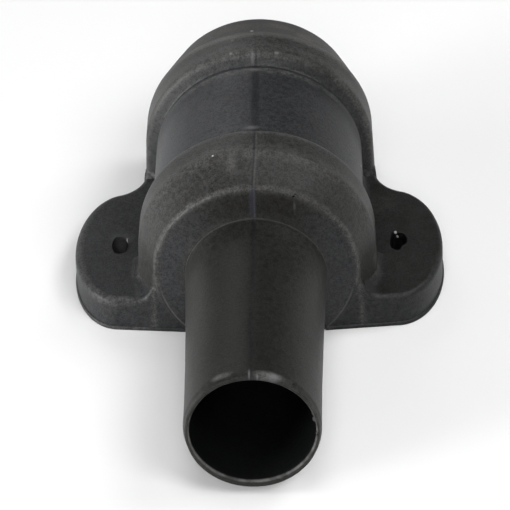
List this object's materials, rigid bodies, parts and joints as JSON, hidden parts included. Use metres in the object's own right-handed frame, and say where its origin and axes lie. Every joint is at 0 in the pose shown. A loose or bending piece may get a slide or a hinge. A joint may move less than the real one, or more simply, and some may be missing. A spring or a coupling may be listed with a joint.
{
  "type": "downpipe coupler",
  "caption": "Flat-backed downpipe coupler with a flared spigot at one end, a beaded socket at the other and slotted fixing ears at the sides.",
  "frame": {"origin": "on the wall plane of the flat back, under the middle of the whole length, on the centre plane between the ears", "axes": "+X across the ears, +Y along the pipe from the spigot's mouth to the socket's mouth, +Z away from the wall"},
  "size_m": [0.1844, 0.2754, 0.093],
  "materials": {
    "dark_plastic": "matte dark grey moulded plastic with a faint grain, scuffed along its ridges"
  },
  "bodies": {
    "root": {"coupler_body": "dark_plastic"}
  },
  "joints": []
}
